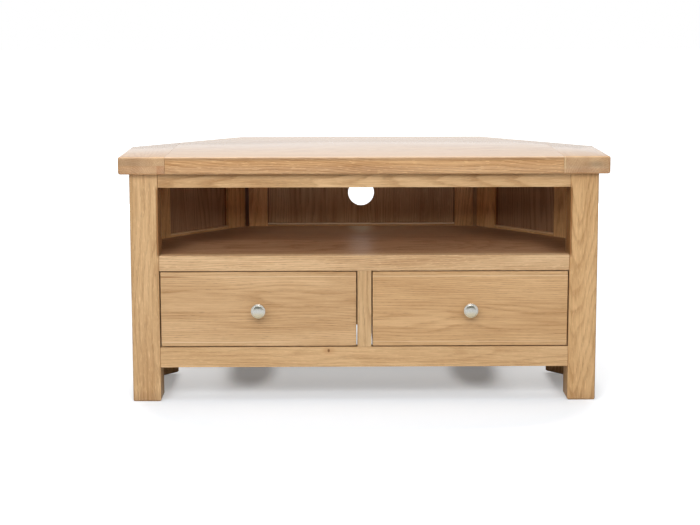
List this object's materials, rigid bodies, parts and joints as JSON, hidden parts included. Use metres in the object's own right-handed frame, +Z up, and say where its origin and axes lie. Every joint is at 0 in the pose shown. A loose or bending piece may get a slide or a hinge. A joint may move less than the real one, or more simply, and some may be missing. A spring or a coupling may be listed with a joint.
{
  "type": "corner tv cabinet",
  "caption": "Low oak television cabinet for a room corner: thick top, open shelf space with a cable hole, drawers below, back corners cut at 45 degrees.",
  "frame": {"origin": "centre of the part's box in plan, on the floor", "axes": "+X to the viewer's right along the front, +Y into the room corner, +Z up; the drawers open towards -Y"},
  "size_m": [1, 0.4364, 0.512],
  "materials": {
    "oak": "clear satin lacquer",
    "oak_panel": "clear satin lacquer on veneer",
    "drawer_wood": "sanded, thin lacquer",
    "plywood": "sanded",
    "runner_wood": "planed and waxed",
    "nickel": "brushed nickel plate",
    "screw_steel": "zinc plate"
  },
  "bodies": {
    "carcass": {"top_board": "oak", "top_end_cap_left": "oak", "top_end_cap_right": "oak", "front_leg_left": "oak", "front_leg_right": "oak", "corner_block_left": "runner_wood", "corner_block_right": "runner_wood", "front_top_rail": "oak", "shelf_front_rail": "oak", "front_bottom_rail": "oak", "centre_stile": "oak", "shelf": "oak", "centre_divider": "runner_wood", "back_stile_left": "oak", "back_stile_right": "oak", "back_top_rail": "oak", "back_lower_board": "oak", "back_panel": "oak_panel", "side_stile_left": "oak", "side_stile_right": "oak", "side_top_rail_left": "oak", "side_top_rail_right": "oak", "side_bottom_rail_left": "oak", "side_bottom_rail_right": "oak", "side_panel_left": "oak_panel", "side_panel_right": "oak_panel", "diagonal_front_stile_left": "oak", "diagonal_front_stile_right": "oak", "diagonal_rear_stile_left": "oak", "diagonal_rear_stile_right": "oak", "diagonal_top_rail_left": "oak", "diagonal_top_rail_right": "oak", "diagonal_lower_board_left": "oak", "diagonal_lower_board_right": "oak", "diagonal_panel_left": "oak_panel", "diagonal_panel_right": "oak_panel", "mid_foot_left": "oak", "mid_foot_right": "oak", "rear_foot_left": "oak", "rear_foot_right": "oak", "outer_guide_left": "runner_wood", "outer_guide_right": "runner_wood", "outer_runner_left": "runner_wood", "outer_runner_right": "runner_wood", "inner_runner_left": "runner_wood", "inner_runner_right": "runner_wood"},
    "drawer_left": {"drawer_front_left": "oak", "drawer_outer_side_left": "drawer_wood", "drawer_inner_side_left": "drawer_wood", "drawer_back_left": "drawer_wood", "drawer_bottom_left": "plywood", "knob_left": "nickel", "knob_screw_left": "screw_steel"},
    "drawer_right": {"drawer_front_right": "oak", "drawer_outer_side_right": "drawer_wood", "drawer_inner_side_right": "drawer_wood", "drawer_back_right": "drawer_wood", "drawer_bottom_right": "plywood", "knob_right": "nickel", "knob_screw_right": "screw_steel"}
  },
  "joints": [
    {"name": "drawer_left_slide", "type": "slide", "parent": "carcass", "child": "drawer_left", "axis": [0, -1, 0], "range_m": [0, 0.15]},
    {"name": "drawer_right_slide", "type": "slide", "parent": "carcass", "child": "drawer_right", "axis": [0, -1, 0], "range_m": [0, 0.15]}
  ]
}
